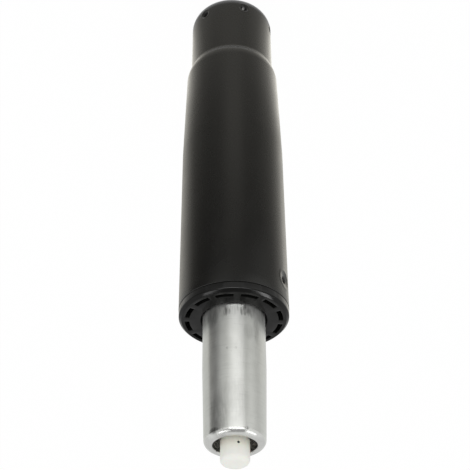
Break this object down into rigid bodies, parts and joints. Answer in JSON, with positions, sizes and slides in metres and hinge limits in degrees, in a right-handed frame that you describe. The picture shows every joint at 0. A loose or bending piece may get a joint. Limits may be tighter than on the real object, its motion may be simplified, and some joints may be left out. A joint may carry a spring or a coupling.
{
  "type": "chair gas lift cylinder",
  "caption": "Height-adjusting gas lift column for an office chair: black tapered column, slotted guide bush, bright tapered gas spring tube and a white release button.",
  "frame": {"origin": "centre of the bottom rim that the column stands on", "axes": "+Z along the column's axis, from the chair base up to the release button"},
  "size_m": [0.05, 0.05, 0.2651],
  "materials": {
    "black_paint": "satin black powder coat",
    "black_plastic": "moulded black acetal with a slight sheen",
    "dark_steel": "dark phosphated steel",
    "bearing_steel": "polished bearing steel",
    "brass": "turned brass",
    "rod_chrome": "hard chromed and ground",
    "rubber": "matte black rubber",
    "zinc_steel": "zinc plated steel",
    "ground_steel": "bright ground steel with light scuffs",
    "alloy": "turned alloy",
    "cream_polymer": "natural acetal",
    "white_nylon": "natural white nylon, satin"
  },
  "bodies": {
    "column": {"column_tube": "black_paint", "guide_bush": "black_plastic", "bottom_plate": "dark_steel", "lower_race": "bearing_steel"},
    "cage": {"ball_cage": "brass", "bearing_balls": "bearing_steel"},
    "rod": {"piston_rod": "rod_chrome", "upper_race": "bearing_steel", "buffer_washer": "dark_steel", "bump_rubber": "rubber", "rod_washer": "zinc_steel", "rod_clip": "dark_steel", "piston": "alloy", "piston_seal": "rubber", "piston_washers": "zinc_steel"},
    "spindle": {"pressure_tube": "ground_steel", "inner_cylinder": "zinc_steel", "rod_guide": "cream_polymer", "rod_seal": "rubber", "seal_washer": "zinc_steel", "centring_ring": "alloy", "valve_body": "brass", "valve_body_seals": "rubber", "valve_spacer": "cream_polymer", "pin_seals": "rubber", "valve_cap": "alloy"},
    "release": {"release_pin": "rod_chrome", "release_button": "white_nylon"}
  },
  "joints": [
    {"name": "swivel", "type": "hinge", "parent": "column", "child": "rod", "pos_m": [0, 0, 0.0174], "axis": [0, 0, 1], "continuous": true},
    {"name": "bearing_roll", "type": "hinge", "parent": "column", "child": "cage", "pos_m": [0, 0, 0.0174], "axis": [0, 0, 1], "continuous": true},
    {"name": "lift", "type": "slide", "parent": "rod", "child": "spindle", "axis": [0, 0, 1], "range_m": [0, 0.1]},
    {"name": "button_press", "type": "slide", "parent": "spindle", "child": "release", "axis": [0, 0, -1], "range_m": [0, 0.003], "stiffness_N_per_m": 2000, "springref_m": -0.01}
  ],
  "couplings": [
    {"joint": "bearing_roll", "follows": "swivel", "ratio": 0.5}
  ]
}
